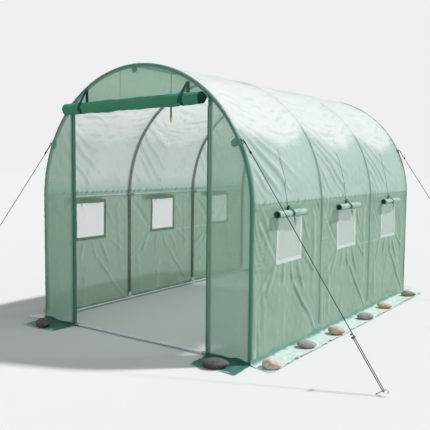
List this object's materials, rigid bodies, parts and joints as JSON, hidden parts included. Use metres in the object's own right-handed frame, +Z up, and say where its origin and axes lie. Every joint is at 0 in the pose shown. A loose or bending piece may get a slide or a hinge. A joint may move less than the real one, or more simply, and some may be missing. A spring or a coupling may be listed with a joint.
{
  "type": "polytunnel greenhouse",
  "caption": "Walk-in garden tunnel: round-arched steel hoops under translucent green cloth, rolled-up door and side windows, weighted skirt, guy ropes.",
  "frame": {"origin": "on the ground in the middle of the tunnel's floor", "axes": "+X right seen from the door end, +Y from the door end to the back, +Z up"},
  "size_m": [3.8185, 3.688, 2.0012],
  "materials": {
    "galvanised_steel": "galvanised, dull",
    "cover_cloth": "translucent woven polyethylene",
    "hem_cloth": "dark green doubled cloth",
    "door_cloth": "translucent woven polyethylene, rolled up",
    "window_net": "fine insect net",
    "white_tape": "white sewn tape",
    "black_rope": "braided",
    "black_plastic": "moulded",
    "brass": "turned",
    "pebble": "water-worn"
  },
  "bodies": {
    "root": {"front_hoop": "galvanised_steel", "second_hoop": "galvanised_steel", "third_hoop": "galvanised_steel", "rear_hoop": "galvanised_steel", "ridge_tube": "galvanised_steel", "side_rails": "galvanised_steel", "ground_side_rails": "galvanised_steel", "front_ground_rail": "galvanised_steel", "rear_ground_rail": "galvanised_steel", "left_door_post": "galvanised_steel", "right_door_post": "galvanised_steel", "rear_posts": "galvanised_steel", "foot_fittings": "galvanised_steel", "strap_rings": "galvanised_steel", "ground_pegs": "galvanised_steel", "roof_cover": "cover_cloth", "left_wall_cover": "cover_cloth", "right_wall_cover": "cover_cloth", "left_front_panel": "cover_cloth", "right_front_panel": "cover_cloth", "front_top_panel": "cover_cloth", "rear_panel": "cover_cloth", "window_rolls": "cover_cloth", "left_skirt": "cover_cloth", "right_skirt": "cover_cloth", "front_left_skirt": "cover_cloth", "front_right_skirt": "cover_cloth", "rear_skirt": "cover_cloth", "front_hem": "hem_cloth", "rear_hem": "hem_cloth", "door_zip_tapes": "hem_cloth", "hoop_straps": "hem_cloth", "door_roll": "door_cloth", "window_screens": "window_net", "window_frames": "white_tape", "door_ties": "white_tape", "window_ties": "white_tape", "front_left_guy_rope": "black_rope", "front_right_guy_rope": "black_rope", "rear_left_guy_rope": "black_rope", "rear_right_guy_rope": "black_rope", "rope_sliders": "black_plastic", "watering_drop": "black_plastic", "spray_nozzle": "brass", "skirt_stones": "pebble"}
  },
  "joints": []
}
